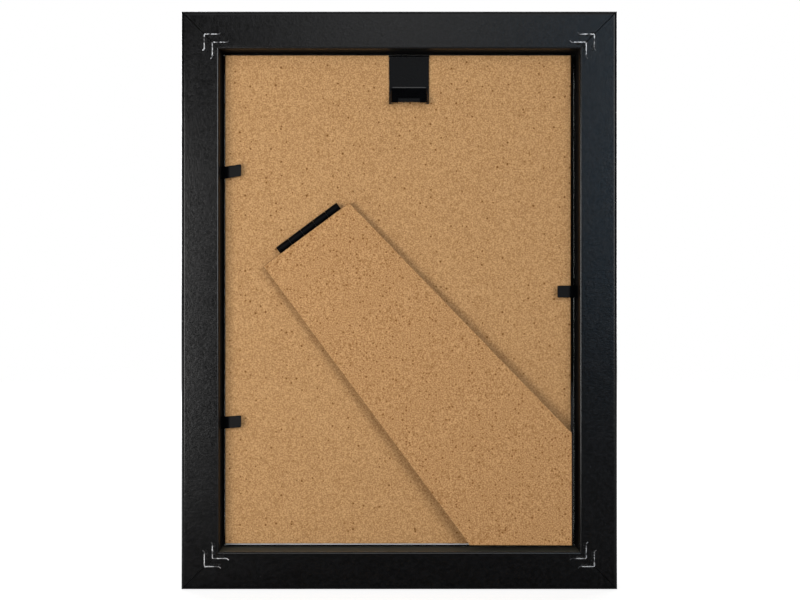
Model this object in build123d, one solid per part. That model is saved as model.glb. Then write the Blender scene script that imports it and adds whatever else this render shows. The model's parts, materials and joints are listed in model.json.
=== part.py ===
from build123d import *
import os
from math import cos, radians, sin, sqrt, tan

# Easel back photo frame: four mitred rails round a glazed picture pack, with a folding strut.
# Millimetres. +Z is up, +Y points out of the back, the origin is under the middle of the bottom rail.
# Left and right are as seen from the front, so a view of the back shows them swapped.

# Picture format and the room round it in the rebate
PICTURE_WIDTH = 148.0
PICTURE_HEIGHT = 210.0
PICTURE_SIDE_CLEARANCE = 2.0
PICTURE_END_CLEARANCE = 1.0
PICTURE_LIFT = 0.2
PICTURE_SHIFT = 0.5
PICTURE_THICKNESS = 0.25

# Moulding of the four rails
RAIL_DEPTH = 18.0
LAND_WIDTH = 16.0
LIP_OVERLAP = 5.0
LIP_THICKNESS = 5.0
OUTER_BACK_RADIUS = 1.6
OUTER_FRONT_RADIUS = 1.2
SIGHT_RADIUS = 1.0
REBATE_ARRIS_RADIUS = 0.9
MITRE_GROOVE_WIDTH = 0.32
MITRE_GROOVE_DEPTH = 0.35

# V-nails, two across each mitre
NAIL_LEG = 6.2
NAIL_HOOK = 1.0
NAIL_HOOK_ANGLE = 45.0
NAIL_SHEET = 0.4
NAIL_BEND_RADIUS = 0.4
NAIL_HEIGHT = 10.0
NAIL_COUNT = 2
NAIL_FIRST = 9.8
NAIL_PITCH = 3.4

# Glass and backing board
GLASS_THICKNESS = 2.0
GLASS_CLEARANCE = 0.8
GLASS_ARRIS = 0.25
BOARD_THICKNESS = 2.5
BOARD_GAP_TOP = 1.35
BOARD_GAP_BOTTOM = 2.1
BOARD_GAP_LEFT = 2.7
BOARD_GAP_RIGHT = 1.6
BOARD_ARRIS = 0.2

# Hanger clip folded over a notch in the board's top edge
HANGER_OFFSET = -4.15
HANGER_WIDTH = 17.0
HANGER_SHEET = 0.7
HANGER_FRONT_LEG = 5.0
HANGER_PLATE = 13.3
HANGER_FOLD_RADIUS = 0.6
HANGER_NOTCH_DEPTH = 0.7
HANGER_NOTCH_CLEARANCE = 0.2

# Hood drawn out of the clip's plate, with a flat seat for a nail's shank in the middle of its mouth
HOOD_WIDTH = 15.6
HOOD_DROP = 6.85
HOOD_ANGLE = 33.0
HOOD_CREASE_RADIUS = 1.2
HOOD_CORNER_RADIUS = 1.4
HOOD_EDGE_RADIUS = 0.5
SEAT_WIDTH = 9.2
SEAT_HEIGHT = 1.9
SEAT_NOTCH = 0.4

# Strut hinge
HINGE_ANGLE = 36.6
HINGE_ACROSS = 38.7
HINGE_RISE = 30.75
HINGE_LENGTH = 32.0
HINGE_SHEET = 0.6
HINGE_KNUCKLES = 5
KNUCKLE_GAP = 0.12
KNUCKLE_CLEARANCE = 0.2
KNUCKLE_LIFT = 0.1
KNUCKLE_SEAM_ANGLE = 20.0
PIN_DIAMETER = 2.0
PIN_CLEARANCE = 0.05
PIN_ARRIS = 0.2
FIXED_LEAF_LENGTH = 15.0
STRUT_LEAF_LENGTH = 18.0
LEAF_GAP = 0.15
LEAF_CORNER_RADIUS = 2.0
PRONG_WIDTH = 2.0
PRONG_DEPTH = 1.8
PRONG_SPREAD = 20.0
PRONG_INSET = 3.5
PRONG_ROW_PITCH = 7.0

# Strut
STRUT_THICKNESS = 2.5
STRUT_TOP_GAP = 0.15
STRUT_MARGIN_LOW = 9.1
STRUT_MARGIN_HIGH = 4.4
STRUT_FLARE = 7.4
STRUT_FOOT_INSET = 0.4
STRUT_REST_ANGLE = 1.3
STRUT_ARRIS = 0.2

# Flexible tabs: height above the frame's middle and lean of the tip for each
TAB_SHEET = 0.5
TAB_WIDTH = 5.1
TAB_REACH = 8.95
TAB_SHANK = 9.0
TAB_POINT = 2.4
TAB_STANDOFF = 0.9
TAB_BEND_OFFSET = 0.35
TAB_CORNER_RADIUS = 0.5
TAB_REST_ANGLE = 13.0
RIGHT_SIDE = 1
LEFT_SIDE = -1
TABS = {
    "right_upper": (RIGHT_SIDE, 54.25, 7.0),
    "right_lower": (RIGHT_SIDE, -52.2, 5.0),
    "left_middle": (LEFT_SIDE, 3.7, 0.0),
}

# Sizes that follow
REBATE_WIDTH = PICTURE_WIDTH + 2 * PICTURE_SIDE_CLEARANCE
REBATE_HEIGHT = PICTURE_HEIGHT + 2 * PICTURE_END_CLEARANCE
OUTER_WIDTH = REBATE_WIDTH + 2 * LAND_WIDTH
OUTER_HEIGHT = REBATE_HEIGHT + 2 * LAND_WIDTH
MIDDLE_HEIGHT = OUTER_HEIGHT / 2
RAIL_WIDTH = LAND_WIDTH + LIP_OVERLAP

# Outer corners: side, height, and the direction along Z that leads into the frame
CORNERS = {
    "bottom_left": (LEFT_SIDE, 0, 1),
    "bottom_right": (RIGHT_SIDE, 0, 1),
    "top_left": (LEFT_SIDE, OUTER_HEIGHT, -1),
    "top_right": (RIGHT_SIDE, OUTER_HEIGHT, -1),
}

# Planes from front to back
FRONT = -RAIL_DEPTH / 2
BACK = RAIL_DEPTH / 2
REBATE_FLOOR = FRONT + LIP_THICKNESS
GLASS_BACK = REBATE_FLOOR + GLASS_THICKNESS
PICTURE_BACK = GLASS_BACK + PICTURE_THICKNESS
BOARD_BACK = PICTURE_BACK + BOARD_THICKNESS

# Edges of the backing board
BOARD_LEFT = -REBATE_WIDTH / 2 + BOARD_GAP_LEFT
BOARD_RIGHT = REBATE_WIDTH / 2 - BOARD_GAP_RIGHT
BOARD_BOTTOM = LAND_WIDTH + BOARD_GAP_BOTTOM
BOARD_TOP = OUTER_HEIGHT - LAND_WIDTH - BOARD_GAP_TOP

# Heights of the hanger's hood, and the outer face of its seat
HOOD_CREASE = BOARD_TOP - HANGER_NOTCH_DEPTH - HANGER_PLATE
HOOD_MOUTH = HOOD_CREASE - HOOD_DROP
SEAT_LEVEL = BOARD_BACK + HANGER_SHEET + (HOOD_DROP - SEAT_HEIGHT) * tan(radians(HOOD_ANGLE))

# Section of the hanger: X points out of the back, Y up
HANGER_SECTION = Plane(origin=(HANGER_OFFSET, 0, 0), x_dir=(0, 1, 0), z_dir=(1, 0, 0))

# Hinge section, measured from the pin's axis
PIN_RADIUS = PIN_DIAMETER / 2
BORE_RADIUS = PIN_RADIUS + PIN_CLEARANCE
KNUCKLE_RADIUS = BORE_RADIUS + HINGE_SHEET
FIXED_LEAF_BOTTOM = -KNUCKLE_RADIUS - KNUCKLE_LIFT
STRUT_LEAF_BOTTOM = FIXED_LEAF_BOTTOM + HINGE_SHEET + LEAF_GAP
STRUT_LEAF_TOP = STRUT_LEAF_BOTTOM + HINGE_SHEET
KNUCKLE_REACH = KNUCKLE_RADIUS + KNUCKLE_CLEARANCE
STRUT_HEAD = KNUCKLE_RADIUS + STRUT_TOP_GAP

# Hinge frame: X runs down along the pin, Y runs along the strut to its foot, Z points out of the back
HINGE_POINT = (HINGE_ACROSS, BOARD_BACK - FIXED_LEAF_BOTTOM, MIDDLE_HEIGHT + HINGE_RISE)
HINGE_DIRECTION = (cos(radians(HINGE_ANGLE)), 0, -sin(radians(HINGE_ANGLE)))
HINGE_PLANE = Plane(origin=HINGE_POINT, x_dir=HINGE_DIRECTION, z_dir=(0, 1, 0))
HINGE_AXIS = Axis(HINGE_POINT, HINGE_DIRECTION)


def block(low, high):
    """Box between two opposite corners."""
    size = [b - a for a, b in zip(low, high)]
    return Pos(*low) * Box(*size, align=(Align.MIN, Align.MIN, Align.MIN))


def rounded(sketch, point, radius):
    """Round the sketch's corner at a point."""
    corner = sketch.vertices().sort_by_distance(point)[0]
    return fillet(corner, radius)


# Rails

def rail_section():
    """Moulding section: X runs inward from the outer edge, Y from the front to the back."""
    outline = Polyline(
        (0, FRONT),
        (RAIL_WIDTH, FRONT),
        (RAIL_WIDTH, REBATE_FLOOR),
        (LAND_WIDTH, REBATE_FLOOR),
        (LAND_WIDTH, BACK),
        (0, BACK),
        close=True,
    )
    section = make_face(outline)
    section = rounded(section, (0, FRONT), OUTER_FRONT_RADIUS)
    section = rounded(section, (RAIL_WIDTH, FRONT), SIGHT_RADIUS)
    section = rounded(section, (LAND_WIDTH, BACK), REBATE_ARRIS_RADIUS)
    return rounded(section, (0, BACK), OUTER_BACK_RADIUS)


def mitred_rail(length):
    """Rail along X with its outer edge at Z = 0, mitred at both ends."""
    section_plane = Plane(origin=(0, 0, 0), x_dir=(0, 0, 1), z_dir=(-1, 0, 0))
    rail = extrude(section_plane * rail_section(), length / 2, both=True)
    for end in (-1, 1):
        mitre = Plane(origin=(end * length / 2, 0, 0), z_dir=(end, 0, 1))
        rail = split(rail, bisect_by=mitre, keep=Keep.BOTTOM)
    return rail


def mitre_grooves(corner):
    """Cutters for the fine V-grooves where the broken edges of two rails meet, back and front."""
    side, height, inward = corner
    grooves = []
    half = MITRE_GROOVE_WIDTH / 2
    for level, depth in ((BACK, -MITRE_GROOVE_DEPTH), (FRONT, MITRE_GROOVE_DEPTH)):
        plane = Plane(
            origin=(side * OUTER_WIDTH / 2, level, height),
            x_dir=(inward, 0, side),
            z_dir=(-side, 0, inward),
        )
        wedge = make_face(Polyline((-half, 0), (half, 0), (0, depth), close=True))
        grooves.append(extrude(plane * wedge, RAIL_WIDTH * sqrt(2)))
    return grooves


def place_rails():
    """The four rails round the rebate."""
    across = mitred_rail(OUTER_WIDTH)
    upright = mitred_rail(OUTER_HEIGHT)
    return {
        "rail_bottom": across,
        "rail_top": Pos(0, 0, OUTER_HEIGHT) * Rot(0, 180, 0) * across,
        "rail_right": Pos(OUTER_WIDTH / 2, 0, MIDDLE_HEIGHT) * Rot(0, -90, 0) * upright,
        "rail_left": Pos(-OUTER_WIDTH / 2, 0, MIDDLE_HEIGHT) * Rot(0, 90, 0) * upright,
    }


# V-nails

def v_nail(corner_plane, apex):
    """One V-nail: two legs along the rails from an apex on the mitre, their ends hooked outward."""
    end = apex + NAIL_LEG
    hook_along = NAIL_HOOK * cos(radians(NAIL_HOOK_ANGLE))
    hook_across = NAIL_HOOK * sin(radians(NAIL_HOOK_ANGLE))
    path = FilletPolyline(
        (end + hook_along, apex - hook_across),
        (end, apex),
        (apex, apex),
        (apex, end),
        (apex - hook_across, end + hook_along),
        radius=NAIL_BEND_RADIUS,
    )
    strip = corner_plane * trace(path, NAIL_SHEET)
    return extrude(strip, NAIL_HEIGHT, dir=(0, -1, 0))


def corner_nails(corner):
    """The V-nails of one corner, flush with the back, as separate solids."""
    side, height, inward = corner
    corner_plane = Plane(
        origin=(side * OUTER_WIDTH / 2, BACK, height),
        x_dir=(-side, 0, 0),
        z_dir=(0, side * inward, 0),
    )
    return [v_nail(corner_plane, NAIL_FIRST + i * NAIL_PITCH) for i in range(NAIL_COUNT)]


# Picture pack

def glass_pane():
    """Float glass on the lip, its edges ground."""
    half_width = REBATE_WIDTH / 2 - GLASS_CLEARANCE
    half_height = REBATE_HEIGHT / 2 - GLASS_CLEARANCE
    pane = block(
        (-half_width, REBATE_FLOOR, MIDDLE_HEIGHT - half_height),
        (half_width, GLASS_BACK, MIDDLE_HEIGHT + half_height),
    )
    return chamfer(pane.edges(), GLASS_ARRIS)


def picture_insert():
    """Picture sheet, a little off the middle of the rebate's play."""
    left = PICTURE_SHIFT - PICTURE_WIDTH / 2
    bottom = MIDDLE_HEIGHT + PICTURE_LIFT - PICTURE_HEIGHT / 2
    return block(
        (left, GLASS_BACK, bottom),
        (left + PICTURE_WIDTH, PICTURE_BACK, bottom + PICTURE_HEIGHT),
    )


def board_blank():
    """Backing board with broken back edges and the hanger's notch."""
    board = block((BOARD_LEFT, PICTURE_BACK, BOARD_BOTTOM), (BOARD_RIGHT, BOARD_BACK, BOARD_TOP))
    notch_half = HANGER_WIDTH / 2 + HANGER_NOTCH_CLEARANCE
    notch = block(
        (HANGER_OFFSET - notch_half, PICTURE_BACK, BOARD_TOP - HANGER_NOTCH_DEPTH),
        (HANGER_OFFSET + notch_half, BOARD_BACK, BOARD_TOP),
    )
    board = board - notch
    return chamfer(board.faces().sort_by(Axis.Y)[-1].edges(), BOARD_ARRIS)


def hanger_clip():
    """Sheet-steel clip: a leg let into the board's front, a fold, and a plate with the nail hood."""
    half = HANGER_SHEET / 2
    front = PICTURE_BACK + half
    back = BOARD_BACK + half
    fold = BOARD_TOP - HANGER_NOTCH_DEPTH + half
    path = FilletPolyline(
        (front, fold - HANGER_FRONT_LEG),
        (front, fold),
        (back, fold),
        (back, HOOD_MOUTH),
        radius=HANGER_FOLD_RADIUS,
    )
    clip = extrude(HANGER_SECTION * trace(path, HANGER_SHEET), HANGER_WIDTH / 2, both=True)
    outside = hood_outside() - seat_space(SEAT_LEVEL, SEAT_WIDTH, SEAT_HEIGHT)
    seat_inside = seat_space(SEAT_LEVEL - HANGER_SHEET, SEAT_WIDTH + 2 * HANGER_SHEET, SEAT_HEIGHT)
    seat_notch = seat_space(BOARD_BACK + HANGER_SHEET, SEAT_WIDTH, SEAT_NOTCH)
    return clip + outside - (hood_inside() - seat_inside) - seat_notch


def hood_outside():
    """Outer form of the hood: a slanted face out of the plate, its corners and long edges rounded."""
    plate = BOARD_BACK + HANGER_SHEET
    mouth = plate + HOOD_DROP * tan(radians(HOOD_ANGLE))
    top = HOOD_CREASE + HOOD_CREASE_RADIUS
    profile = make_face(Polyline(
        (BOARD_BACK, HOOD_MOUTH),
        (mouth, HOOD_MOUTH),
        (plate, HOOD_CREASE),
        (plate, top),
        (BOARD_BACK, top),
        close=True,
    ))
    profile = rounded(profile, (plate, HOOD_CREASE), HOOD_CREASE_RADIUS)
    form = extrude(HANGER_SECTION * profile, HOOD_WIDTH / 2, both=True)
    face_middle = (HANGER_OFFSET, (plate + mouth) / 2, (HOOD_CREASE + HOOD_MOUTH) / 2)
    slanted_face = form.faces().sort_by_distance(face_middle)[0]
    form = fillet(slanted_face.edges().filter_by(Axis.X, reverse=True), HOOD_EDGE_RADIUS)

    height = HOOD_DROP + HOOD_CREASE_RADIUS * tan(radians(HOOD_ANGLE / 2))
    outline = Pos(0, height / 2) * Rectangle(HOOD_WIDTH, height)
    for side in (-1, 1):
        outline = rounded(outline, (side * HOOD_WIDTH / 2, height), HOOD_CORNER_RADIUS)
    outline_plane = Plane(
        origin=(HANGER_OFFSET, BOARD_BACK, HOOD_MOUTH), x_dir=(1, 0, 0), z_dir=(0, -1, 0)
    )
    return form & extrude(outline_plane * outline, mouth - BOARD_BACK, dir=(0, 1, 0))


def hood_inside():
    """Hollow of the hood, open to the board and at the mouth."""
    apex = HOOD_CREASE - HANGER_SHEET * tan(radians(HOOD_ANGLE / 2))
    mouth = BOARD_BACK + (apex - HOOD_MOUTH) * tan(radians(HOOD_ANGLE))
    profile = make_face(Polyline(
        (BOARD_BACK, HOOD_MOUTH),
        (mouth, HOOD_MOUTH),
        (BOARD_BACK, apex),
        close=True,
    ))
    return extrude(HANGER_SECTION * profile, HOOD_WIDTH / 2 - HANGER_SHEET, both=True)


def seat_space(level, width, height):
    """Space out from a level in the middle of the hood's mouth."""
    return block(
        (HANGER_OFFSET - width / 2, level, HOOD_MOUTH),
        (HANGER_OFFSET + width / 2, level + HOOD_DROP, HOOD_MOUTH + height),
    )


# Strut and hinge, drawn folded flat in the hinge frame

def knuckle_spans(first):
    """Spans along the pin of every second knuckle."""
    width = (HINGE_LENGTH - (HINGE_KNUCKLES - 1) * KNUCKLE_GAP) / HINGE_KNUCKLES
    starts = [-HINGE_LENGTH / 2 + i * (width + KNUCKLE_GAP) for i in range(first, HINGE_KNUCKLES, 2)]
    return [(start, width) for start in starts]


def knuckle(section, span):
    """Knuckle section, drawn with X along the strut and Y out of the back, run over one span."""
    start, width = span
    section_plane = Plane(origin=(start, 0, 0), x_dir=(0, 1, 0), z_dir=(1, 0, 0))
    return extrude(section_plane * section, width)


def fixed_knuckle_section():
    """Sheet rolled up from the board round the pin, open at its seam."""
    reach = 2 * KNUCKLE_RADIUS
    seam_drop = reach * tan(radians(KNUCKLE_SEAM_ANGLE))
    seam = make_face(Polyline((0, 0), (0, -reach), (reach, -reach), (reach, -seam_drop), close=True))
    return Circle(KNUCKLE_RADIUS) - Circle(BORE_RADIUS) - seam + leaf_strap(FIXED_LEAF_BOTTOM)


def strut_knuckle_section():
    """Closed ring with the strap that carries the strut's leaf."""
    return Circle(KNUCKLE_RADIUS) + leaf_strap(STRUT_LEAF_BOTTOM) - Circle(BORE_RADIUS)


def leaf_strap(bottom):
    """Strap from under the pin to the edge of a leaf."""
    return Pos(0, bottom) * Rectangle(KNUCKLE_REACH, HINGE_SHEET, align=(Align.MIN, Align.MIN))


def prong_places(leaf_length):
    """Places of the four prongs of a leaf: across it, and back from its free end."""
    last_row = leaf_length - PRONG_INSET
    rows = (last_row - PRONG_ROW_PITCH, last_row)
    return [(side * PRONG_SPREAD / 2, row) for row in rows for side in (-1, 1)]


def leaf_plate(leaf_length, bottom, prong_side):
    """Flat leaf with prongs lanced out of it: prong_side is 1 for out of the back, -1 for into it."""
    top = bottom + HINGE_SHEET
    plate = block((-HINGE_LENGTH / 2, KNUCKLE_REACH, bottom), (HINGE_LENGTH / 2, leaf_length, top))
    free_corners = plate.edges().filter_by(Axis.Z).group_by(Axis.Y)[-1]
    plate = fillet(free_corners, LEAF_CORNER_RADIUS)
    root = top if prong_side > 0 else bottom
    for across, along in prong_places(leaf_length):
        window = block(
            (across - PRONG_WIDTH / 2, along - PRONG_DEPTH, bottom),
            (across + PRONG_WIDTH / 2, along, top),
        )
        tooth = make_face(Polyline(
            (across - PRONG_WIDTH / 2, root),
            (across + PRONG_WIDTH / 2, root),
            (across, root + prong_side * PRONG_DEPTH),
            close=True,
        ))
        tooth_plane = Plane(origin=(0, along, 0), x_dir=(1, 0, 0), z_dir=(0, -1, 0))
        plate = plate - window + extrude(tooth_plane * tooth, HINGE_SHEET, dir=(0, 1, 0))
    return plate


def hinge_fixed_leaf():
    """Leaf on the board with the outer and middle knuckles."""
    leaf = leaf_plate(FIXED_LEAF_LENGTH, FIXED_LEAF_BOTTOM, -1)
    for span in knuckle_spans(0):
        leaf = leaf + knuckle(fixed_knuckle_section(), span)
    return leaf


def hinge_strut_leaf():
    """Leaf under the strut with the knuckles between."""
    leaf = leaf_plate(STRUT_LEAF_LENGTH, STRUT_LEAF_BOTTOM, 1)
    for span in knuckle_spans(1):
        leaf = leaf + knuckle(strut_knuckle_section(), span)
    return leaf


def hinge_pin():
    """Plain pin through all the knuckles."""
    pin = Rot(0, 90, 0) * Cylinder(PIN_RADIUS, HINGE_LENGTH)
    return chamfer(pin.edges().filter_by(GeomType.CIRCLE), PIN_ARRIS)


def easel_strut():
    """Leg flared to one side, its foot cut along the board's bottom and left edges."""
    low = HINGE_LENGTH / 2 + STRUT_MARGIN_LOW
    high = -HINGE_LENGTH / 2 - STRUT_MARGIN_HIGH
    reach = PICTURE_WIDTH + PICTURE_HEIGHT
    flared = high - (reach - STRUT_HEAD) * tan(radians(STRUT_FLARE))
    blade = make_face(Polyline(
        (low, STRUT_HEAD),
        (low, reach),
        (flared, reach),
        (high, STRUT_HEAD),
        close=True,
    ))
    leg = extrude(HINGE_PLANE * Pos(0, 0, STRUT_LEAF_TOP) * blade, STRUT_THICKNESS, dir=(0, 1, 0))
    foot_limit = block(
        (BOARD_LEFT + STRUT_FOOT_INSET, BOARD_BACK, BOARD_BOTTOM + STRUT_FOOT_INSET),
        (BOARD_RIGHT, BOARD_BACK + reach, BOARD_TOP),
    )
    leg = leg & foot_limit
    return chamfer(leg.faces().sort_by(Axis.Y)[-1].edges(), STRUT_ARRIS)


# Flexible tabs

def tab_axis_point(side, height):
    """Point on the bend line of a tab, just off the rebate wall."""
    across = side * (REBATE_WIDTH / 2 - TAB_BEND_OFFSET)
    return (across, BOARD_BACK + TAB_STANDOFF + TAB_SHEET / 2, MIDDLE_HEIGHT + height)


def tab_strip(side, height, outline):
    """Strip of tab steel from an outline: X runs from the bend line into the frame's opening, Y up."""
    plane = Plane(origin=tab_axis_point(side, height), x_dir=(-side, 0, 0), z_dir=(0, side, 0))
    return extrude(plane * outline, TAB_SHEET / 2, both=True)


def tab_blade(side, height, lean):
    """Bending half of a tab, with a round root on the bend line, lifted to its rest angle."""
    half = TAB_WIDTH / 2
    reach = TAB_REACH - TAB_BEND_OFFSET
    rise = reach * tan(radians(lean))
    outline = make_face(Polyline(
        (0, -half),
        (reach, rise - half),
        (reach, rise + half),
        (0, half),
        close=True,
    ))
    outline = rounded(outline, (reach, rise - half), TAB_CORNER_RADIUS)
    outline = rounded(outline, (reach, rise + half), TAB_CORNER_RADIUS)
    point = tab_axis_point(side, height)
    root = Pos(*point) * Cylinder(TAB_SHEET / 2, TAB_WIDTH)
    blade = tab_strip(side, height, outline) + root
    return blade.rotate(Axis(point, (0, 0, -side)), TAB_REST_ANGLE)


def tab_shank(side, height):
    """Driven-in half of a tab, pointed, flush with the rebate wall."""
    half = TAB_WIDTH / 2
    start = -TAB_BEND_OFFSET
    shoulder = start - TAB_SHANK + TAB_POINT
    outline = make_face(Polyline(
        (start, -half),
        (start, half),
        (shoulder, half),
        (start - TAB_SHANK, 0),
        (shoulder, -half),
        close=True,
    ))
    return tab_strip(side, height, outline)


# Assembly

def assemble():
    """Every node of the frame, seated."""
    nails = {name: corner_nails(corner) for name, corner in CORNERS.items()}
    shanks = {name: tab_shank(side, height) for name, (side, height, lean) in TABS.items()}
    rail_cuts = [groove for corner in CORNERS.values() for groove in mitre_grooves(corner)]
    rail_cuts += [nail for pair in nails.values() for nail in pair]
    rail_cuts += shanks.values()
    nodes = {name: rail - rail_cuts for name, rail in place_rails().items()}
    nodes.update({"v_nails_" + name: Compound(children=pair) for name, pair in nails.items()})

    fixed_leaf = HINGE_PLANE.location * hinge_fixed_leaf()
    strut_leaf = HINGE_PLANE.location * hinge_strut_leaf()
    hanger = hanger_clip()
    nodes["glass_pane"] = glass_pane()
    nodes["picture_insert"] = picture_insert()
    nodes["backing_board"] = board_blank() - hanger - fixed_leaf
    nodes["hanger_clip"] = hanger
    nodes["hinge_fixed_leaf"] = fixed_leaf
    nodes["hinge_pin"] = HINGE_PLANE.location * hinge_pin()
    nodes["hinge_strut_leaf"] = strut_leaf.rotate(HINGE_AXIS, STRUT_REST_ANGLE)
    nodes["easel_strut"] = (easel_strut() - strut_leaf).rotate(HINGE_AXIS, STRUT_REST_ANGLE)
    for name, (side, height, lean) in TABS.items():
        nodes["tab_shank_" + name] = shanks[name]
        nodes["tab_blade_" + name] = tab_blade(side, height, lean)
    return nodes


def main():
    """Write one STEP file for each node."""
    os.makedirs("parts", exist_ok=True)
    for name, shape in assemble().items():
        export_step(shape, f"parts/{name}.step")


if __name__ == "__main__":
    main()
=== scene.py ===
"""Looks of the easel back photo frame: its finishes, the bending tabs, the studio and the camera."""

import json
from math import cos, pi, radians, sin, sqrt, tan

import bmesh
import bpy
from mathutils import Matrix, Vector


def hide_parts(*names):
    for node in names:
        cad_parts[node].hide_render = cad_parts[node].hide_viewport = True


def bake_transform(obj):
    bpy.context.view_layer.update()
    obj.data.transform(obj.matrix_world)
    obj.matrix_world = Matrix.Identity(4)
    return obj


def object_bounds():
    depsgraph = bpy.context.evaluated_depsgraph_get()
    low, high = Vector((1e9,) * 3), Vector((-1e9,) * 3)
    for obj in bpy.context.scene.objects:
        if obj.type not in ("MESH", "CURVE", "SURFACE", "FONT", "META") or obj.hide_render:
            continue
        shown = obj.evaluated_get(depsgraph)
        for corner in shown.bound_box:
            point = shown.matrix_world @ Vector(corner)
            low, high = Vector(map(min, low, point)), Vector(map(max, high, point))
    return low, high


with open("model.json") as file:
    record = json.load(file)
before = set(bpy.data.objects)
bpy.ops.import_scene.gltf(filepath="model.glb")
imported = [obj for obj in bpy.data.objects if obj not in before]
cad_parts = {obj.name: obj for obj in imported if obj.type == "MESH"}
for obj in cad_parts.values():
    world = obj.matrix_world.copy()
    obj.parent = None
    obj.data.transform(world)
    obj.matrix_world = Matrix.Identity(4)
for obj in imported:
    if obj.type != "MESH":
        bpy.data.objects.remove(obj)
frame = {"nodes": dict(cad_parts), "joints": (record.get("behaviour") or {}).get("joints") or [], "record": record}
cad_low, cad_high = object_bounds()

# Metres. +Z is up and +Y points out of the back, which the camera looks at square on.
MM = 0.001

# Camera: its distance from the back, its place across and up, and its lens
CAMERA_DISTANCE = 600 * MM
CAMERA_ASIDE = -0.29 * MM
CAMERA_HEIGHT = 122.13 * MM
CAMERA_LENS = 64.07
SENSOR_WIDTH = 36.0

# Colours of the light
WHITE_LIGHT = (1.0, 1.0, 1.0)
WARM_LIGHT = (1.0, 0.99, 0.97)
COOL_LIGHT = (0.97, 0.985, 1.0)
BLUE_LIGHT = (0.45, 0.72, 1.0)

# Soft lamps: azimuth round from the back towards +X and elevation in degrees, distance,
# width and height in metres, radiance, colour
LAMP_TARGET = (0.0, 0.0, 0.122)
LAMPS = {
    "key_right": (33, 1, 0.525, 0.217, 0.26, 8.3, WARM_LIGHT),
    "key_left": (-31, 11, 1.50, 0.58, 0.70, 6.2, COOL_LIGHT),
    "lamp_top": (0, 38, 1.00, 0.60, 0.50, 1.6, WHITE_LIGHT),
    "panel_left": (-14.4, 10, 1.17, 0.14, 0.50, 2.4, BLUE_LIGHT),
    "panel_top": (0, 15, 1.15, 0.30, 0.44, 1.65, WHITE_LIGHT),
    "front_right": (150, 16, 1.25, 0.70, 0.70, 6.2, WHITE_LIGHT),
    "front_left": (-140, 12, 1.15, 0.60, 0.60, 5.2, WHITE_LIGHT),
    "front_top": (180, 55, 1.20, 0.80, 0.50, 2.4, WHITE_LIGHT),
}

# Light from all round, and the directions along Y between which the white backdrop fades in
AMBIENT_LEVEL = 0.015
BACKDROP_START = -0.50
BACKDROP_END = -0.90

# Floor: its colour, the line behind which mirrors and glass see it white, which slants to both
# sides, and its glow for the camera near the frame and far from it
FLOOR_SIZE = 3.0
FLOOR_COLOUR = (0.40, 0.40, 0.40)
FLOOR_MIRROR_START = -0.06
FLOOR_MIRROR_END = -0.12
FLOOR_MIRROR_SLANT = 0.35
FLOOR_GLOW_NEAR = 0.82
FLOOR_GLOW_FAR = 1.0
FLOOR_GLOW_START = 0.15
FLOOR_GLOW_END = 0.80

# Rails: the width of their back, their rounded arrises and how soon those turn glossy
LAND_WIDTH = 16.0 * MM
OUTER_ARRIS = 1.6 * MM
INNER_ARRIS = 0.9 * MM
ARRIS_FADE = 0.7
OUTER_GLOSS = 0.25
INNER_GLOSS = 0.60
FOIL_GLINT = 0.16

# Rails: how near the back counts as back, the line along each mitre, and the matt rebate
BACK_FADE = 0.9
MITRE_LINE = 0.22 * MM
MITRE_FADE = 0.6
REBATE_FLOOR = -4.2 * MM
REBATE_FADE = 0.2 * MM
FACING_BACK = 0.5
MATT_ROUGHNESS = 0.5

# V-nails: their legs, how far from the mitre foil may cover them, and the torn foil beside them
NAIL_APEXES = (9.8 * MM, 13.2 * MM)
NAIL_LEG = 6.2 * MM
NAIL_COVER = 5.0 * MM
NAIL_COVER_FADE = 0.5 * MM
TEAR_REACH = 0.8 * MM
TEAR_SHIFT = 0.5 * MM

# Picture sheet: how far under the frame's top the painted shade along its top edge reaches. Glass: its tint in
# lamplight
PAINTED_SHADE_TOP = 17.6 * MM
PAINTED_SHADE_FADE = 0.8 * MM
GLASS_TINT = (0.95, 0.97, 0.96)

# Tab strips: their section, the lengths of shank and blade, and the length over which they bend
TAB_WIDTH = 5.1 * MM
TAB_SHEET = 0.5 * MM
TAB_EDGE = 0.1 * MM
TAB_SHANK = 9.0 * MM
TAB_POINT = 2.4 * MM
TAB_POINT_FLAT = 0.02 * MM
TAB_REACH = 8.95 * MM
TAB_BEND_OFFSET = 0.35 * MM
TAB_BEND_LENGTH = 0.7 * MM
TAB_CORNER_RADIUS = 0.5 * MM
TAB_REST_ANGLE = 13.0
TAB_LEAN = {"right_upper": 7.0, "right_lower": 5.0, "left_middle": 0.0}

# Tab strips: places along them from the bend line, and the number of sections in each stretch
TAB_START = -TAB_BEND_OFFSET - TAB_SHANK
TAB_SHOULDER = TAB_START + TAB_POINT
TAB_CORNER = TAB_REACH - TAB_BEND_OFFSET - TAB_CORNER_RADIUS
TAB_BEND_STEPS = 12
TAB_BLADE_STEPS = 8
TAB_CORNER_STEPS = 6

# Sockets of a mix node for colours
MIX_SHARE = 0
MIX_FIRST = 6
MIX_SECOND = 7
MIX_RESULT = 2


def opaque(colour):
    """A colour with its alpha. A link stays as it is."""
    return (*colour, 1.0) if isinstance(colour, tuple) else colour


def emptied_tree(owner):
    """The node tree of a material or a world, with no nodes."""
    owner.use_nodes = True
    owner.node_tree.nodes.clear()
    return owner.node_tree


def add_node(tree, kind, inputs, **settings):
    """Add a node, with a value or a link for each input."""
    made = tree.nodes.new(kind)
    for name, value in settings.items():
        setattr(made, name, value)
    for name, value in inputs.items():
        if isinstance(value, bpy.types.NodeSocket):
            tree.links.new(value, made.inputs[name])
        else:
            made.inputs[name].default_value = value
    return made


def add_math(tree, operation, first, second=0.0):
    """Arithmetic on one or two values."""
    return add_node(tree, "ShaderNodeMath", {0: first, 1: second}, operation=operation).outputs["Value"]


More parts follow.
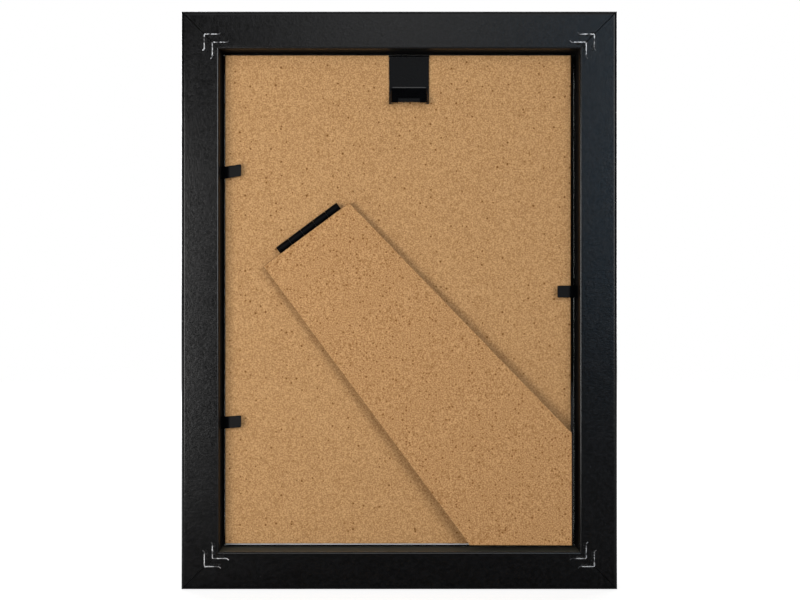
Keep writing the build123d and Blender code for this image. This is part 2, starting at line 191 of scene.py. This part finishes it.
def add_span(tree, value, low, high, to_low=0.0, to_high=1.0):
    """Take a value from one span to another, held at the ends."""
    made = add_node(
        tree,
        "ShaderNodeMapRange",
        {"Value": value, "From Min": low, "From Max": high, "To Min": to_low, "To Max": to_high},
    )
    return made.outputs["Result"]


class Finish:
    """A procedural material on one principled shader, with short ways to add nodes."""

    def __init__(self, name, **constants):
        self.material = bpy.data.materials.new(name)
        self.tree = emptied_tree(self.material)
        values = {socket.replace("_", " "): value for socket, value in constants.items()}
        self.shader = self.node("ShaderNodeBsdfPrincipled", values)
        self.output = self.node("ShaderNodeOutputMaterial", {"Surface": self.shader.outputs["BSDF"]})
        coordinates = self.node("ShaderNodeTexCoord", {}).outputs
        self.place = coordinates["Object"]
        self.normal = coordinates["Normal"]

    def node(self, kind, inputs, **settings):
        """Add a node, with a value or a link for each input."""
        return add_node(self.tree, kind, inputs, **settings)

    def math(self, operation, first, second=0.0):
        """Arithmetic on one or two values."""
        return add_math(self.tree, operation, first, second)

    def span(self, value, low, high, to_low=0.0, to_high=1.0):
        """Take a value from one span to another, held at the ends."""
        return add_span(self.tree, value, low, high, to_low, to_high)

    def parts(self, vector):
        """The X, Y and Z of a place or a normal."""
        return self.node("ShaderNodeSeparateXYZ", {"Vector": vector}).outputs

    def gap(self, first, second):
        """How far apart two values are."""
        return self.math("ABSOLUTE", self.math("SUBTRACT", first, second))

    def noise(self, grain, detail=2.0, stretch=(1.0, 1.0, 1.0)):
        """Noise whose grains are about that many metres across."""
        scaled = self.node("ShaderNodeMapping", {"Vector": self.place, "Scale": stretch})
        made = self.node(
            "ShaderNodeTexNoise",
            {"Vector": scaled.outputs["Vector"], "Scale": 1.0 / grain, "Detail": detail},
        )
        return made.outputs["Fac"]

    def specks(self, pitch, size, softness, shift=(0.0, 0.0, 0.0)):
        """Mask of scattered specks of uneven size, about a pitch apart."""
        shifted = self.node("ShaderNodeMapping", {"Vector": self.place, "Location": shift})
        cells = self.node(
            "ShaderNodeTexVoronoi",
            {"Vector": shifted.outputs["Vector"], "Scale": 1.0 / pitch},
        )
        channels = self.node("ShaderNodeSeparateColor", {"Color": cells.outputs["Color"]})
        reach = self.math("MULTIPLY", channels.outputs["Red"], size / pitch)
        edge = self.math("SUBTRACT", reach, cells.outputs["Distance"])
        return self.span(edge, 0.0, softness * size / pitch)

    def edge_distance(self, coordinate, low, high):
        """Distance from the nearer of two opposite outer edges."""
        return self.math("SUBTRACT", (high - low) / 2, self.gap(coordinate, (low + high) / 2))

    def edge_distances(self):
        """Distances from the frame's nearer side and from its nearer end."""
        sides = self.parts(self.place)
        from_side = self.edge_distance(sides["X"], cad_low.x, cad_high.x)
        from_end = self.edge_distance(sides["Z"], cad_low.z, cad_high.z)
        return from_side, from_end

    def mix(self, share, first, second):
        """Mix two colours."""
        inputs = {MIX_SHARE: share, MIX_FIRST: opaque(first), MIX_SECOND: opaque(second)}
        return self.node("ShaderNodeMix", inputs, data_type="RGBA").outputs[MIX_RESULT]

    def relief(self, height, depth, strength, under=None):
        """Fine relief of that depth in metres, on top of another one."""
        inputs = {"Height": height, "Distance": depth, "Strength": strength}
        if under is not None:
            inputs["Normal"] = under
        return self.node("ShaderNodeBump", inputs).outputs["Normal"]

    def use(self, **sockets):
        """Lead values to the shader."""
        for name, value in sockets.items():
            self.tree.links.new(value, self.shader.inputs[name.replace("_", " ")])
        return self.material


def torn_foil(finish, from_side, from_end):
    """Mask of ragged patches along the legs of the nails in the corners."""
    ragged = finish.span(finish.noise(1.5 * MM, detail=3.0), 0.52, 0.62)
    near = None
    for across, lengthwise in ((from_side, from_end), (from_end, from_side)):
        for apex in NAIL_APEXES:
            off_line = finish.gap(across, apex + TEAR_SHIFT)
            beside = finish.math("LESS_THAN", off_line, TEAR_REACH)
            off_middle = finish.gap(lengthwise, apex + NAIL_LEG / 2)
            along = finish.math("LESS_THAN", off_middle, NAIL_LEG / 2 + TEAR_REACH)
            patch = finish.math("MULTIPLY", beside, along)
            near = patch if near is None else finish.math("MAXIMUM", near, patch)
    return finish.math("MULTIPLY", ragged, near)


def black_foil():
    """Satin black foil: pebbled, torn at the nails, burnished on the arrises, matt in the rebate, with painted
    light on the rebate's up-facing faces.
    """
    finish = Finish("black_foil", Specular_IOR_Level=0.20, Coat_Roughness=0.22)
    deep_black = (0.0003, 0.0003, 0.0004)
    cloud_black = (0.0008, 0.0008, 0.0010)
    grain_black = (0.0032, 0.0032, 0.0038)
    dust_grey = (0.03, 0.03, 0.032)
    matt_black = (0.0012, 0.0012, 0.0011)
    painted_light_brown = (0.075, 0.070, 0.052)

    clouds = finish.noise(9 * MM, detail=3.0)
    grain = finish.noise(1.2 * MM)
    pebbles = finish.noise(0.40 * MM, detail=1.0)
    black = finish.mix(clouds, deep_black, cloud_black)
    black = finish.mix(finish.span(grain, 0.40, 0.66, to_high=0.9), black, grain_black)
    # Real dust specks on the foil.
    dust_and_painted_shade = finish.specks(pitch=5.0 * MM, size=0.32 * MM, softness=0.6)
    black = finish.mix(finish.math("MULTIPLY", dust_and_painted_shade, 0.5), black, dust_grey)
    rough = finish.span(finish.math("ADD", clouds, grain), 0.6, 1.4, 0.18, 0.26)

    depth = finish.parts(finish.place)["Y"]
    facing = finish.parts(finish.normal)
    from_side, from_end = finish.edge_distances()
    inward = finish.math("MINIMUM", from_side, from_end)
    past_land = finish.span(inward, LAND_WIDTH - REBATE_FADE, LAND_WIDTH)
    above_floor = finish.math("GREATER_THAN", depth, REBATE_FLOOR)
    faces_back = finish.math("GREATER_THAN", facing["Y"], FACING_BACK)
    rebate = finish.math("MULTIPLY", past_land, finish.math("MAXIMUM", above_floor, faces_back))
    near_back = finish.span(depth, cad_high.y - OUTER_ARRIS, cad_high.y - BACK_FADE * OUTER_ARRIS)
    tears = finish.math("MULTIPLY", torn_foil(finish, from_side, from_end), near_back)
    mitre = finish.span(finish.gap(from_side, from_end), MITRE_LINE, MITRE_FADE * MITRE_LINE)
    dull = finish.math("MAXIMUM", finish.math("MAXIMUM", rebate, tears), mitre)
    black = finish.mix(dull, black, matt_black)
    # Painted light: rebate faces that face up are lightened to a brownish grey, as if lit from above.
    faces_up = finish.span(facing["Z"], 0.7, 0.95)
    black = finish.mix(finish.math("MULTIPLY", rebate, faces_up), black, painted_light_brown)
    rough = finish.math("ADD", finish.math("MULTIPLY", dull, MATT_ROUGHNESS), rough)

    outer = finish.span(inward, OUTER_ARRIS, ARRIS_FADE * OUTER_ARRIS, to_high=OUTER_GLOSS)
    inner_start = LAND_WIDTH - INNER_ARRIS
    inner_end = LAND_WIDTH - ARRIS_FADE * INNER_ARRIS
    inner = finish.span(inward, inner_start, inner_end, to_high=INNER_GLOSS)
    gloss = finish.math("MULTIPLY", finish.math("MAXIMUM", outer, inner), near_back)
    glint = finish.span(finish.noise(0.7 * MM), 0.45, 0.70, to_high=FOIL_GLINT)
    glint = finish.math("MULTIPLY", glint, finish.math("SUBTRACT", 1.0, dull))
    gloss = finish.math("MAXIMUM", gloss, glint)

    normal = finish.relief(pebbles, depth=0.035 * MM, strength=0.7)
    normal = finish.relief(grain, depth=0.065 * MM, strength=0.7, under=normal)
    normal = finish.relief(tears, depth=-0.15 * MM, strength=1.0, under=normal)
    return finish.use(Base_Color=black, Roughness=rough, Coat_Weight=gloss, Normal=normal)


def hardboard(contrast, fleck_pitch, fleck_size, warmth):
    """Bare hardboard: mottled tan fibre with dark flecks, pale fibres and sawn brown edges."""
    finish = Finish("hardboard", Specular_IOR_Level=0.10)
    deep_tan = (0.448, 0.246, 0.104)
    light_tan = (0.488, 0.274, 0.116)
    mottle_tan = (0.385, 0.199, 0.073)
    grain_brown = (0.27, 0.128, 0.041)
    grain_cream = (0.68, 0.417, 0.192)
    fleck_brown = (0.185, 0.073, 0.015)
    fibre_cream = (0.70, 0.446, 0.220)
    warm_tan = (0.43, 0.195, 0.070)
    sawn_brown = (0.12, 0.055, 0.019)

    clouds = finish.noise(30 * MM)
    mottle = finish.noise(1.6 * MM, detail=3.0)
    grain = finish.noise(0.55 * MM)
    colour = finish.mix(clouds, deep_tan, light_tan)
    colour = finish.mix(finish.span(mottle, 0.35, 0.70, to_high=0.25), colour, mottle_tan)
    colour = finish.mix(finish.span(grain, 0.48, 0.68, to_high=contrast), colour, grain_brown)
    colour = finish.mix(finish.span(grain, 0.50, 0.32, to_high=contrast), colour, grain_cream)
    flecks = finish.specks(fleck_pitch, fleck_size, softness=0.5)
    colour = finish.mix(flecks, colour, fleck_brown)
    fibres = finish.specks(pitch=2.4 * MM, size=0.6 * MM, softness=0.8, shift=(0.05, 0.02, 0.07))
    colour = finish.mix(finish.math("MULTIPLY", fibres, 0.45), colour, fibre_cream)
    colour = finish.mix(warmth, colour, warm_tan)
    face = finish.math("ABSOLUTE", finish.parts(finish.normal)["Y"])
    colour = finish.mix(finish.span(face, 0.80, 0.60, to_high=0.8), colour, sawn_brown)
    rough = finish.span(mottle, 0.3, 0.7, 0.52, 0.72)
    normal = finish.relief(grain, depth=0.030 * MM, strength=0.5)
    return finish.use(Base_Color=colour, Roughness=rough, Normal=normal)


def black_lacquer(specular, roughness, bend_gloss):
    """Thin black lacquer on sheet steel, glossier over its bends."""
    finish = Finish("black_lacquer", Specular_IOR_Level=specular, Coat_Roughness=0.2)
    deep_black = (0.0010, 0.0011, 0.0014)
    cloud_black = (0.0022, 0.0024, 0.0030)

    clouds = finish.noise(4 * MM, detail=3.0)
    peel = finish.noise(0.5 * MM, detail=1.0)
    black = finish.mix(clouds, deep_black, cloud_black)
    rough = finish.span(clouds, 0.3, 0.7, roughness, 1.3 * roughness)
    upward = finish.parts(finish.normal)["Z"]
    bend_start = finish.span(upward, 0.01, 0.04, to_high=bend_gloss)
    bend_end = finish.span(upward, 0.52, 0.40)
    bends = finish.math("MULTIPLY", bend_start, bend_end)
    normal = finish.relief(peel, depth=0.016 * MM, strength=0.5)
    return finish.use(Base_Color=black, Roughness=rough, Coat_Weight=bends, Normal=normal)


def bright_steel(across_cover, upright_cover):
    """Sheared steel edge, dark where scraps of foil and glue cling to it and foil hides a leg's end."""
    finish = Finish("bright_steel", Metallic=1.0)
    dull_steel = (0.34, 0.34, 0.35)
    clean_steel = (0.62, 0.62, 0.63)
    scrap_black = (0.02, 0.02, 0.021)

    lines = finish.noise(0.3 * MM, stretch=(1.0, 0.12, 1.0))
    stains = finish.noise(1.8 * MM, detail=3.0)
    steel = finish.mix(lines, dull_steel, clean_steel)
    steel = finish.mix(finish.span(stains, 0.47, 0.60, to_high=0.94), steel, scrap_black)
    from_side, from_end = finish.edge_distances()
    off_mitre = finish.math("SUBTRACT", from_side, from_end)
    cover_end = NAIL_COVER + NAIL_COVER_FADE
    across_end = finish.span(off_mitre, NAIL_COVER, cover_end, to_high=across_cover)
    upright_end = finish.span(off_mitre, -NAIL_COVER, -cover_end, to_high=upright_cover)
    steel = finish.mix(finish.math("MAXIMUM", across_end, upright_end), steel, scrap_black)
    rough = finish.span(lines, 0.3, 0.7, 0.42, 0.60)
    normal = finish.relief(lines, depth=0.008 * MM, strength=0.5)
    return finish.use(Base_Color=steel, Roughness=rough, Normal=normal)


def float_glass():
    """Clear glass with the faintest smears, which lets the lamps light the picture behind it."""
    finish = Finish("float_glass", Transmission_Weight=1.0, IOR=1.5)
    green_tint = (0.965, 0.985, 0.975)
    pale_tint = (0.985, 0.995, 0.99)

    smears = finish.noise(22 * MM, detail=3.0, stretch=(1.0, 1.0, 0.4))
    tint = finish.mix(smears, green_tint, pale_tint)
    rough = finish.span(smears, 0.45, 0.8, to_high=0.03)
    shadow_ray = finish.node("ShaderNodeLightPath", {}).outputs["Is Shadow Ray"]
    clear = finish.node("ShaderNodeBsdfTransparent", {"Color": opaque(GLASS_TINT)}).outputs["BSDF"]
    body = finish.shader.outputs["BSDF"]
    choice = finish.node("ShaderNodeMixShader", {"Fac": shadow_ray, 1: body, 2: clear})
    finish.tree.links.new(choice.outputs["Shader"], finish.output.inputs["Surface"])
    return finish.use(Base_Color=tint, Roughness=rough)


def white_sheet():
    """Matt white paper with a soft fibre texture, and painted shade along its top edge."""
    finish = Finish("white_sheet", Specular_IOR_Level=0.2)
    soft_white = (0.80, 0.80, 0.785)
    bright_white = (0.85, 0.85, 0.84)
    fibre_white = (0.74, 0.74, 0.72)
    painted_shade_brown = (0.035, 0.030, 0.025)

    fibre = finish.noise(0.5 * MM, detail=3.0)
    clouds = finish.noise(14 * MM)
    white = finish.mix(clouds, soft_white, bright_white)
    white = finish.mix(finish.span(fibre, 0.45, 0.75, to_high=0.4), white, fibre_white)
    # Painted shade: the sheet's top edge is darkened to near black, where the gap under the top rail is in shade.
    from_top = finish.math("SUBTRACT", cad_high.z, finish.parts(finish.place)["Z"])
    dust_and_painted_shade = finish.span(from_top, PAINTED_SHADE_TOP + PAINTED_SHADE_FADE, PAINTED_SHADE_TOP, to_high=0.95)
    white = finish.mix(dust_and_painted_shade, white, painted_shade_brown)
    rough = finish.span(fibre, 0.3, 0.7, 0.75, 0.9)
    normal = finish.relief(fibre, depth=0.012 * MM, strength=0.5)
    return finish.use(Base_Color=white, Roughness=rough, Normal=normal)


# Finishes by material slot, and those of single nodes that differ from their slot's
SLOT_FINISHES = {
    "black_foil": black_foil(),
    "hardboard": hardboard(contrast=0.60, fleck_pitch=2.2 * MM, fleck_size=0.62 * MM, warmth=0.0),
    "black_steel": black_lacquer(specular=0.025, roughness=0.14, bend_gloss=0.0),
    "glass": float_glass(),
    "paper": white_sheet(),
}
HINGE_FINISH = black_lacquer(specular=0.08, roughness=0.26, bend_gloss=0.0)
NODE_FINISHES = {
    "easel_strut": hardboard(contrast=0.78, fleck_pitch=1.4 * MM, fleck_size=0.60 * MM, warmth=0.15),
    "hanger_clip": black_lacquer(specular=0.08, roughness=0.24, bend_gloss=0.8),
    "hinge_fixed_leaf": HINGE_FINISH,
    "hinge_strut_leaf": HINGE_FINISH,
    "hinge_pin": HINGE_FINISH,
    "v_nails_top_right": bright_steel(across_cover=0.9, upright_cover=0.0),
    "v_nails_top_left": bright_steel(across_cover=0.2, upright_cover=0.9),
    "v_nails_bottom_right": bright_steel(across_cover=0.0, upright_cover=0.9),
    "v_nails_bottom_left": bright_steel(across_cover=0.9, upright_cover=0.4),
}


def dress(piece, material):
    """Give a piece one material."""
    piece.data.materials.clear()
    piece.data.materials.append(material)


def dress_nodes():
    """Give every CAD node its own finish, or that of its material slot."""
    for part in frame["record"]["subparts"]:
        node = part["node"]
        if node in NODE_FINISHES:
            material = NODE_FINISHES[node]
        else:
            material = SLOT_FINISHES[part["material_slot"]]
        dress(frame["nodes"][node], material)


def smooth_step(value):
    """Ease from 0 to 1."""
    value = min(max(value, 0.0), 1.0)
    return value * value * (3 - 2 * value)


def tab_stations():
    """Distances from the bend line at which a tab strip has a section."""
    stations = [TAB_START + TAB_POINT_FLAT, TAB_SHOULDER, TAB_SHOULDER / 2]
    bend_span = TAB_BEND_LENGTH + TAB_BEND_OFFSET
    for step in range(TAB_BEND_STEPS + 1):
        stations.append(-TAB_BEND_OFFSET + bend_span * step / TAB_BEND_STEPS)
    blade_span = TAB_CORNER - TAB_BEND_LENGTH
    for step in range(1, TAB_BLADE_STEPS + 1):
        stations.append(TAB_BEND_LENGTH + blade_span * step / TAB_BLADE_STEPS)
    for step in range(1, TAB_CORNER_STEPS + 1):
        stations.append(TAB_CORNER + TAB_CORNER_RADIUS * sin(pi / 2 * step / TAB_CORNER_STEPS))
    return stations


def tab_centre_line(stations):
    """How far in and out each section lies, and its angle: straight as far as the bend line, then bent."""
    line = []
    along = 0.0
    out = 0.0
    previous = 0.0
    for station in stations:
        if station < 0:
            line.append((station, 0.0, 0.0))
        else:
            angle = radians(TAB_REST_ANGLE) * smooth_step((previous + station) / TAB_BEND_LENGTH)
            along += (station - previous) * cos(angle)
            out += (station - previous) * sin(angle)
            line.append((along, out, angle))
            previous = station
    return line


def tab_half_width(station):
    """Half the strip's width at a station: a driven point at one end, round corners at the other."""
    half = TAB_WIDTH / 2
    if station < TAB_SHOULDER:
        return half * (station - TAB_START) / TAB_POINT
    if station > TAB_CORNER:
        into_corner = station - TAB_CORNER
        return half - TAB_CORNER_RADIUS + sqrt(max(TAB_CORNER_RADIUS ** 2 - into_corner ** 2, 0.0))
    return half


def tab_section(half):
    """Corners of the strip's section, up and through the sheet, with its edges taken off."""
    thick = TAB_SHEET / 2
    edge = min(TAB_EDGE, half / 2)
    return [
        (-half, -thick + edge), (-half + edge, -thick), (half - edge, -thick), (half, -thick + edge),
        (half, thick - edge), (half - edge, thick), (-half + edge, thick), (-half, thick - edge),
    ]


def tab_mesh(name, axis_point, inward):
    """Mesh of one tab, from its driven point to its round-cornered tip."""
    lean = tan(radians(TAB_LEAN[name]))
    stations = tab_stations()
    mesh = bmesh.new()
    rings = []
    for station, (along, out, angle) in zip(stations, tab_centre_line(stations)):
        rise = max(station, 0.0) * lean
        ring = []
        for up, through in tab_section(tab_half_width(station)):
            shift = Vector((
                inward * (along - through * sin(angle)),
                out + through * cos(angle),
                rise + up,
            ))
            ring.append(mesh.verts.new(axis_point + shift))
        rings.append(ring)
    for first, second in zip(rings, rings[1:]):
        for i in range(len(first)):
            j = (i + 1) % len(first)
            mesh.faces.new((first[i], first[j], second[j], second[i]))
    mesh.faces.new(rings[0])
    mesh.faces.new(rings[-1])
    bmesh.ops.recalc_face_normals(mesh, faces=mesh.faces)
    data = bpy.data.meshes.new("tab_" + name)
    mesh.to_mesh(data)
    mesh.free()
    return data


def tab_strip(name, joint):
    """One flexible tab as one strip of sheet that bends at the rail's wall."""
    axis_point = Vector(joint["pos_m"])
    inward = -1.0 if axis_point.x > 0 else 1.0
    strip = bpy.data.objects.new("tab_strip_" + name, tab_mesh(name, axis_point, inward))
    bpy.context.scene.collection.objects.link(strip)
    dress(strip, SLOT_FINISHES["black_steel"])
    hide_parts("tab_shank_" + name, "tab_blade_" + name)
    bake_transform(strip)


def make_tabs():
    """The three flexible tabs."""
    joints = {joint["name"]: joint for joint in frame["joints"]}
    for name in TAB_LEAN:
        tab_strip(name, joints[f"tab_{name}_bend"])


def seen_share(tree, side):
    """Share of the white background that a ray sees: the camera's all, a mirror's or glass's by side."""
    rays = add_node(tree, "ShaderNodeLightPath", {}).outputs
    bounced = add_math(tree, "MAXIMUM", rays["Is Glossy Ray"], rays["Is Transmission Ray"])
    bounced_share = add_math(tree, "MULTIPLY", bounced, side)
    return add_math(tree, "MAXIMUM", rays["Is Camera Ray"], bounced_share)


def make_world():
    """White backdrop for the camera, and for mirrors and glass on its own side, in a dim room."""
    world = bpy.data.worlds.new("studio")
    bpy.context.scene.world = world
    tree = emptied_tree(world)
    white = opaque(WHITE_LIGHT)
    room = add_node(tree, "ShaderNodeBackground", {"Color": white, "Strength": AMBIENT_LEVEL})
    backdrop = add_node(tree, "ShaderNodeBackground", {"Color": white})
    direction = add_node(tree, "ShaderNodeTexCoord", {}).outputs["Generated"]
    parts = add_node(tree, "ShaderNodeSeparateXYZ", {"Vector": direction}).outputs
    side = add_span(tree, parts["Y"], BACKDROP_START, BACKDROP_END)
    shaders = {1: room.outputs["Background"], 2: backdrop.outputs["Background"]}
    choice = add_node(tree, "ShaderNodeMixShader", {"Fac": seen_share(tree, side), **shaders})
    add_node(tree, "ShaderNodeOutputWorld", {"Surface": choice.outputs["Shader"]})


def floor_material():
    """Pale matt floor with a glow that is white far from the frame."""
    material = bpy.data.materials.new("pale_floor")
    tree = emptied_tree(material)
    place = add_node(tree, "ShaderNodeTexCoord", {}).outputs["Object"]
    parts = add_node(tree, "ShaderNodeSeparateXYZ", {"Vector": place}).outputs
    aside = add_math(tree, "ABSOLUTE", parts["X"])
    slant = add_math(tree, "MULTIPLY", aside, FLOOR_MIRROR_SLANT)
    behind = add_math(tree, "SUBTRACT", parts["Y"], slant)
    side = add_span(tree, behind, FLOOR_MIRROR_START, FLOOR_MIRROR_END)
    distance = add_node(tree, "ShaderNodeVectorMath", {0: place}, operation="LENGTH").outputs["Value"]
    level = add_span(tree, distance, FLOOR_GLOW_START, FLOOR_GLOW_END, FLOOR_GLOW_NEAR, FLOOR_GLOW_FAR)
    strength = add_math(tree, "MULTIPLY", seen_share(tree, side), level)
    matt = add_node(tree, "ShaderNodeBsdfDiffuse", {"Color": opaque(FLOOR_COLOUR)})
    glow = add_node(tree, "ShaderNodeEmission", {"Strength": strength})
    both = add_node(tree, "ShaderNodeAddShader", {0: matt.outputs["BSDF"], 1: glow.outputs["Emission"]})
    add_node(tree, "ShaderNodeOutputMaterial", {"Surface": both.outputs["Shader"]})
    return material


def make_floor():
    """Pale floor under the frame that keeps its shadow."""
    bpy.ops.mesh.primitive_plane_add(size=FLOOR_SIZE, location=(0, 0, 0))
    floor = bpy.context.object
    floor.name = "floor"
    dress(floor, floor_material())


def make_lamps():
    """Soft boxes beside and above the camera, dim panels round it, and lamps on the picture's side."""
    target = Vector(LAMP_TARGET)
    for name, (azimuth, elevation, distance, width, height, radiance, colour) in LAMPS.items():
        data = bpy.data.lights.new(name, "AREA")
        data.shape = "RECTANGLE"
        data.size = width
        data.size_y = height
        data.energy = radiance * pi * width * height
        data.color = colour
        level = cos(radians(elevation))
        towards = Vector((
            level * sin(radians(azimuth)),
            level * cos(radians(azimuth)),
            sin(radians(elevation)),
        ))
        lamp = bpy.data.objects.new(name, data)
        lamp.location = target + towards * distance
        lamp.rotation_mode = "QUATERNION"
        lamp.rotation_quaternion = (-towards).to_track_quat("-Z", "Y")
        lamp.visible_camera = False
        bpy.context.scene.collection.objects.link(lamp)


def make_camera():
    """Camera square on to the back."""
    data = bpy.data.cameras.new("camera")
    data.lens = CAMERA_LENS
    data.sensor_width = SENSOR_WIDTH
    data.sensor_fit = "HORIZONTAL"
    camera = bpy.data.objects.new("camera", data)
    camera.location = (CAMERA_ASIDE, cad_high.y + CAMERA_DISTANCE, CAMERA_HEIGHT)
    camera.rotation_euler = (pi / 2, 0, pi)
    bpy.context.scene.collection.objects.link(camera)
    bpy.context.scene.camera = camera


dress_nodes()
make_tabs()
make_world()
make_floor()
make_lamps()
make_camera()
bpy.context.scene.view_settings.view_transform = "Standard"
